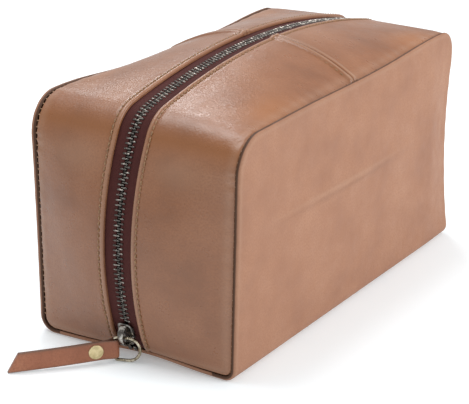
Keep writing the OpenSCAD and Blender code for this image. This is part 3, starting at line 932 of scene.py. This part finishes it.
def capsule(start, end, rise, radius, sides=8):
    """Rings of one stitch, which arches out between two needle holes."""
    u = np.linspace(0, 1, 7)[:, None]
    path = start + (end - start) * u + rise * np.sin(math.pi * u)
    swell = radius * np.array([0.55, 0.9, 1, 1, 1, 0.9, 0.55])
    ahead = (end - start) / np.linalg.norm(end - start)
    up = rise / np.linalg.norm(rise)
    across = np.cross(ahead, up)
    angle = np.linspace(0, 2 * math.pi, sides, endpoint=False)
    ring = np.cos(angle)[:, None] * across + np.sin(angle)[:, None] * up
    return path[:, None] + swell[:, None, None] * ring[None]


def face_place(t, x, depth, side):
    """One place on a half's gussets, which may be at the back."""
    return settle(mirrored(gusset_point(np.array(t), np.array(x), np.array(depth)), side))


def sewn_row(places, side, radius=0.5 * MM, gap=0.6 * MM, rise=0.42 * MM):
    """Stitches along a row; places gives t and x at each needle hole, outside the leather's face."""
    tubes = []
    holes = [face_place(t, x, STITCH_DEPTH, side) for t, x in places]
    raised = [face_place(t, x, STITCH_DEPTH - rise, side) for t, x in places]
    for i in range(len(holes) - 1):
        ahead = holes[i + 1] - holes[i]
        inset = ahead / np.linalg.norm(ahead) * gap / 2
        up = (raised[i] - holes[i] + raised[i + 1] - holes[i + 1]) / 2
        tubes.append(capsule(holes[i] + inset, holes[i + 1] - inset, up, radius))
    return tubes


def stitches(side):
    """The rows beside the zip and on both sides of the cross seam."""
    edge_x = ZIP_EDGE + STITCH_FROM_EDGE
    step = STITCH_PITCH / ZIP_HALF
    count = int(0.992 * ZIP_HALF / STITCH_PITCH)
    tubes = []
    for start, way in ((0, 1), (2, -1)):
        tubes += sewn_row([(start + way * step * (i + 1.5), edge_x) for i in range(count)], side)
    reach = GUSSET_REACH[side] - 1.5 * MM
    across = np.arange(edge_x + STITCH_PITCH, reach, STITCH_PITCH)
    for way in (-1, 1):
        t = 1 + way * CROSS_STITCH / ZIP_HALF
        tubes += sewn_row([(t, x) for x in across], side)
    obj = loft(f"stitches_{side}", tubes, seam_thread)
    return ride_half(obj)


def rung(t, side):
    """One thread across the groove between the wrap and the gusset."""
    reach = GUSSET_REACH[side]
    low = face_place(t, reach - 0.9 * MM, SEAM_DEPTH, side)
    high = face_place(t, reach + 1.2 * MM, SEAM_DEPTH, side)
    out = face_place(t, reach - 0.9 * MM, SEAM_DEPTH - 0.4 * MM, side) - low
    return capsule(low, high, out, 0.35 * MM)


def seam_ladder(side):
    """The threads in the groove, from the front's bottom over the top to the back's bottom."""
    shares = np.arange(9 * MM, SEAM_HALF, STITCH_PITCH) / SEAM_HALF
    tubes = [rung(t, side) for share in shares for t in (share, 2 - share)]
    obj = loft(f"seam_ladder_{side}", tubes, groove_thread)
    return ride_half(obj)


# ---------------------------------------------------------------- slider, ring, strap and rivet

class Place:
    """A place with its own three ways, to build small parts in."""

    def __init__(self, origin, a, b, c):
        self.origin = np.array(origin)
        self.ways = np.array([a, b, c], float)

    def at(self, points):
        return self.origin + np.asarray(points, float) @ self.ways


def level_ways(heading):
    """Ahead at a heading, to the left of it, and up."""
    ahead = (math.cos(heading), math.sin(heading), 0)
    return ahead, (-ahead[1], ahead[0], 0), (0, 0, 1)


slider_middle = slider_pivot + slider_out * (END_RADIUS - CHAIN_DEPTH)
slider_place = Place(slider_middle, (1, 0, 0), slider_out, (0, slider_out.z, -slider_out.y))
ring_place = Place(hook, *level_ways(RING_TURN))
strap_along, strap_across, upwards = level_ways(STRAP_TURN)
strap_place = Place(bar_middle, strap_along, strap_across, upwards)
rivet_middle = strap_place.at([RIVET_PLACE, 0, -STRAP_DROOP * RIVET_PLACE / STRAP_LENGTH])
rivet_place = Place(rivet_middle, strap_along, upwards, strap_across)


def squared(angle, power_a, power_b):
    """A circle's two places at each angle, pushed out towards the corners of a square."""
    a, b = np.cos(angle), np.sin(angle)
    return np.sign(a) * np.abs(a) ** power_a, np.sign(b) * np.abs(b) ** power_b


def rounded_outline(width, length, waist=0.0, sides=40):
    """Points round a plate: rounded corners, and narrower by waist at its lower end."""
    a, b = squared(np.linspace(0, 2 * math.pi, sides, endpoint=False), 0.42, 0.42)
    x, z = a * width / 2, b * length / 2
    return x * (1 - waist * smooth((0.1 * length - z) / (0.6 * length))), z


# A slider plate's rounded rim from its inner face out, in millimetres: how far in, and how high.
PLATE_RIM = ((0.3, 0), (0.05, 0.15), (0, 0.35), (0, 0.7),
             (0.12, 0.92), (0.4, 1.06), (0.9, PLATE / MM), (2.2, 1.14))


def plate_rings(side):
    """A slider plate with rounded rims and a slightly domed face; side is 1 outside and -1 inside."""
    rings = []
    for inset, height in PLATE_RIM:
        shrink = 2 * inset * MM
        x, z = rounded_outline(SLIDER_SIZE.x - shrink, SLIDER_SIZE.y - shrink, 0.22)
        outwards = side * (PLATE_GAP + height * MM)
        rings.append(slider_place.at(np.stack([x, outwards + 0 * x, z], -1)))
    return np.array(rings if side > 0 else rings[::-1])[::-1]


def bar(place, centre, size, rim=0.15 * MM, sides=16):
    """Rings of a small block with rounded rims, standing along the third way."""
    rings = []
    for inset, height in ((rim, -0.5), (0, -0.42), (0, 0.42), (rim, 0.5)):
        x, y = rounded_outline(size[0] - 2 * inset, size[1] - 2 * inset, sides=sides)
        ring = np.stack([x, y, height * size[2] + 0 * x], -1)
        rings.append(place.at(ring + np.array(centre)))
    return np.array(rings)


def slider_body():
    """Two plates with turned-in flanges and the post between them."""
    tubes = [plate_rings(1), plate_rings(-1)]
    flange = np.array([0.6, 0.6, 7.4]) * MM
    for way in (-1, 1):
        for face in (-1, 1):
            centre = (way * (SLIDER_SIZE.x - flange[0]) / 2, face * (PLATE_GAP - 0.15 * MM), 1.2 * MM)
            tubes.append(bar(slider_place, centre, flange))
    post = np.array([1.5 * MM, 2 * PLATE_GAP + 0.4 * MM, 3 * MM])
    tubes.append(bar(slider_place, (0, 0, 2.5 * MM - SLIDER_SIZE.y / 2), post))
    hardware("slider_body", tubes, slider_metal, "slider")


def strip_rings(place, path, ahead_ways, widths, thickness):
    """Rings of a flat strip along a path in a place's second and third ways."""
    a, b = squared(np.linspace(0, 2 * math.pi, 16, endpoint=False), 0.5, 0.5)
    rings = []
    for point, ahead, width in zip(path, ahead_ways, widths):
        across = a[:, None] * np.array([width / 2, 0, 0])
        outwards = b[:, None] * np.array([0, ahead[2], -ahead[1]]) * thickness / 2
        rings.append(place.at(point + across + outwards))
    return np.array(rings)


def slider_bridge():
    """The arched strip on the slider that holds the ring."""
    angle = np.radians(np.linspace(-4, 184, 28))
    face = PLATE_GAP + PLATE - 0.7 * MM
    path = np.stack([0 * angle, face + BRIDGE_RADIUS * np.sin(angle), BRIDGE_RADIUS * np.cos(angle)], -1)
    ahead = np.stack([0 * angle, np.cos(angle), -np.sin(angle)], -1)
    widths = (3.2 + 0.9 * np.abs(np.cos(angle)) ** 3) * MM
    tubes = [strip_rings(slider_place, path, ahead, widths, 1.2 * MM)]
    hardware("slider_bridge", tubes, slider_metal, "slider")


def pull_ring():
    """The D-ring: a straight bar for the strap and a bow through the slider's bridge."""
    bow = RING_HEIGHT / 2
    bar_at = math.sqrt(max((bar_middle - hook).length ** 2 - bow ** 2, 0))
    bend = 1.3 * MM
    angle = np.linspace(0, math.pi, 33)
    round_bow = [(-RING_BOW - bow * math.sin(a), -bow + bow * math.cos(a)) for a in angle]
    corner = np.linspace(0, math.pi / 2, 6)
    low = [(bar_at - bend + bend * math.sin(a), -RING_HEIGHT + bend - bend * math.cos(a)) for a in corner]
    high = [(bar_at - bend + bend * math.cos(a), -bend + bend * math.sin(a)) for a in corner]
    rail = [(u, -RING_HEIGHT) for u in np.linspace(-RING_BOW, bar_at - bend, 8)[1:-1]]
    bar_line = [(bar_at, v) for v in np.linspace(-RING_HEIGHT + bend, -bend, 8)[1:-1]]
    top = [(u, 0) for u in np.linspace(bar_at - bend, -RING_BOW, 8)[1:-1]]
    loop = round_bow + rail + low + bar_line + high + top
    path = ring_place.at([(u, 0, v) for u, v in loop])
    hardware("pull_ring", [tube(path, WIRE / 2, 16, closed=True)], ring_metal, "ring")


def hardware(node, tubes, material, body):
    obj = loft(node + "_metal", tubes, material)
    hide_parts(node)
    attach(obj, body)
    return obj


def strap_path(share):
    """Along and outwards on the strap's middle line, once round: front tip, ring's bar, back tip."""
    layer = STRAP_THICKNESS / 4
    hole = WIRE / 2 + 0.25 * MM + layer
    turn = math.pi * hole
    past_front = share * (2 * STRAP_LENGTH + turn) - STRAP_LENGTH
    if 0 <= past_front < turn:
        angle = past_front / hole
        return -hole * math.sin(angle), hole * math.cos(angle)
    along = -past_front if past_front < 0 else past_front - turn
    lift = layer + (hole - layer) * float(smooth(1 - along / (7 * MM)))
    return along, lift if past_front < 0 else -lift


def strap():
    """One strip of leather folded round the ring's bar, its two layers riveted together."""
    centre = np.array([strap_path(share) for share in np.linspace(0, 1, 260)])
    ahead = np.gradient(centre, axis=0)
    ahead /= np.linalg.norm(ahead, axis=1, keepdims=True)
    normal = np.stack([-ahead[:, 1], ahead[:, 0]], -1)
    across, thick = squared(np.linspace(0, 2 * math.pi, 28, endpoint=False), 0.28, 0.55)
    layer = STRAP_THICKNESS / 2 - 0.12 * MM
    rings, uv = [], []
    for (along, lift), way in zip(centre, normal):
        v = across * STRAP_WIDTH / 2
        slant = 1 - TIP_SLANT * (v / STRAP_WIDTH + 0.5) / STRAP_LENGTH
        u = np.where(along > 0, along * slant, along) + way[0] * thick * layer / 2
        reach = u / STRAP_LENGTH
        bow = 1.04 * MM * reach ** 2 - 0.64 * MM * np.sin(math.pi * np.clip(reach, 0, 1))
        w = lift + way[1] * thick * layer / 2 - bow
        rings.append(strap_place.at(np.stack([u, w, v - STRAP_DROOP * reach], -1)))
        uv.append(np.stack([u, v], -1))
    rings, uv = np.array(rings)[:, ::-1], np.array(uv)[:, ::-1]
    edge = np.abs(across[::-1]) ** 10 + 0 * rings[..., 0]
    obj = loft("pull_strap_leather", [rings], strap_leather, uv, edge)
    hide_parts("pull_strap")
    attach(obj, "pull_tab")


def turned(place, profile, sides=48):
    """Rings of a round part, from (radius, height) pairs, standing along the third way."""
    angle = np.linspace(0, 2 * math.pi, sides, endpoint=False)
    rings = [np.stack([r * np.cos(angle), r * np.sin(angle), h + 0 * angle], -1) for r, h in profile]
    return place.at(np.array(rings))


def rivet():
    """The domed cap and the washer behind the strap."""
    face = STRAP_THICKNESS / 2 + GAP
    insets = [(0.45, -0.1), (0.15, 0), (0, 0.18), (0.05, 0.36), (0.3, 0.47), (0.65, 0.5), (0.9, 0.52)]
    rim = [(RIVET_RADIUS / MM - inset, height) for inset, height in insets]
    dome = [(3.0 * math.cos(a), 0.52 + 0.38 * math.sin(a)) for a in np.radians([12, 25, 40, 55, 70, 82])]
    cap = [(r * MM, face + h * MM) for r, h in rim + dome + [(0.05, RIVET_RISE / MM)]]
    hardware("rivet_cap", [turned(rivet_place, cap)], rivet_metal, "pull_tab")
    back = [(3.3, 0.1), (3.5, 0), (3.5, -0.25), (3.2, -0.42), (1.2, -0.45), (0.9, -0.3), (0.05, -0.3)]
    post = [(r * MM, -face + h * MM) for r, h in back]
    hardware("rivet_post", [turned(rivet_place, post)[::-1]], rivet_metal, "pull_tab")


def keep_solid(*nodes):
    """Small CAD parts that show as they are, in metal."""
    for node in nodes:
        frame["nodes"][node].data.materials.clear()
        frame["nodes"][node].data.materials.append(tooth_metal)


# ---------------------------------------------------------------- camera, light and floor

def look_from(azimuth, elevation, aim, distance, half_angle):
    """A camera that looks at aim. Azimuth 0 looks along +Y and 90 along -X."""
    a, e = math.radians(azimuth), math.radians(elevation)
    forward = Vector((-math.sin(a) * math.cos(e), math.cos(a) * math.cos(e), -math.sin(e)))
    data = bpy.data.cameras.new("camera")
    data.sensor_width = 36
    data.lens = data.sensor_width / 2 / math.tan(math.radians(half_angle))
    data.clip_start = 0.01
    camera = bpy.data.objects.new("camera", data)
    camera.location = Vector(aim) - forward * distance
    camera.rotation_euler = forward.to_track_quat("-Z", "Y").to_euler()
    bpy.context.scene.collection.objects.link(camera)
    bpy.context.scene.camera = camera


def soft_light(name, place, aim, size, power, colour=(1, 1, 1)):
    data = bpy.data.lights.new(name, "AREA")
    data.shape = "RECTANGLE"
    data.size, data.size_y = size
    data.energy = power
    data.color = colour
    light = bpy.data.objects.new(name, data)
    light.location = place
    light.rotation_euler = (Vector(aim) - Vector(place)).to_track_quat("-Z", "Y").to_euler()
    bpy.context.scene.collection.objects.link(light)


def studio():
    """A white table under large soft lights."""
    bpy.ops.mesh.primitive_plane_add(size=8)
    floor = bpy.context.object
    floor.name = "floor"
    floor.data.materials.append(floor_material())
    world = bpy.data.worlds.new("world")
    world.use_nodes = True
    world.node_tree.nodes["Background"].inputs["Color"].default_value = (1, 1, 1, 1)
    world.node_tree.nodes["Background"].inputs["Strength"].default_value = 0.62
    bpy.context.scene.world = world
    middle = (0, 0, 0.08)
    soft_light("overhead", (-0.35, -0.05, 1.2), middle, (0.7, 0.5), 7.5)
    soft_light("right", (1.3, 0.25, 0.7), middle, (0.9, 0.9), 14)
    soft_light("behind", (-0.72, 0.8, 1.0), middle, (0.34, 0.28), 3.2)
    bpy.context.scene.view_settings.view_transform = "Standard"


look_from(32.29, 20.07, (-0.00998, -0.0109, 0.04938), 0.9633, 8.04)
studio()
base()
base_lining()
for half in ("right", "left"):
    wrap(half)
    side_lining(half)
    gusset_lining(half)
    for end in ("front", "rear"):
        gusset(end, half)
    zip_tape(half)
    tooth_row(half)
    stitches(half)
    seam_ladder(half)
slider_body()
slider_bridge()
pull_ring()
strap()
rivet()
keep_solid("top_stop_right", "top_stop_left", "bottom_stop")
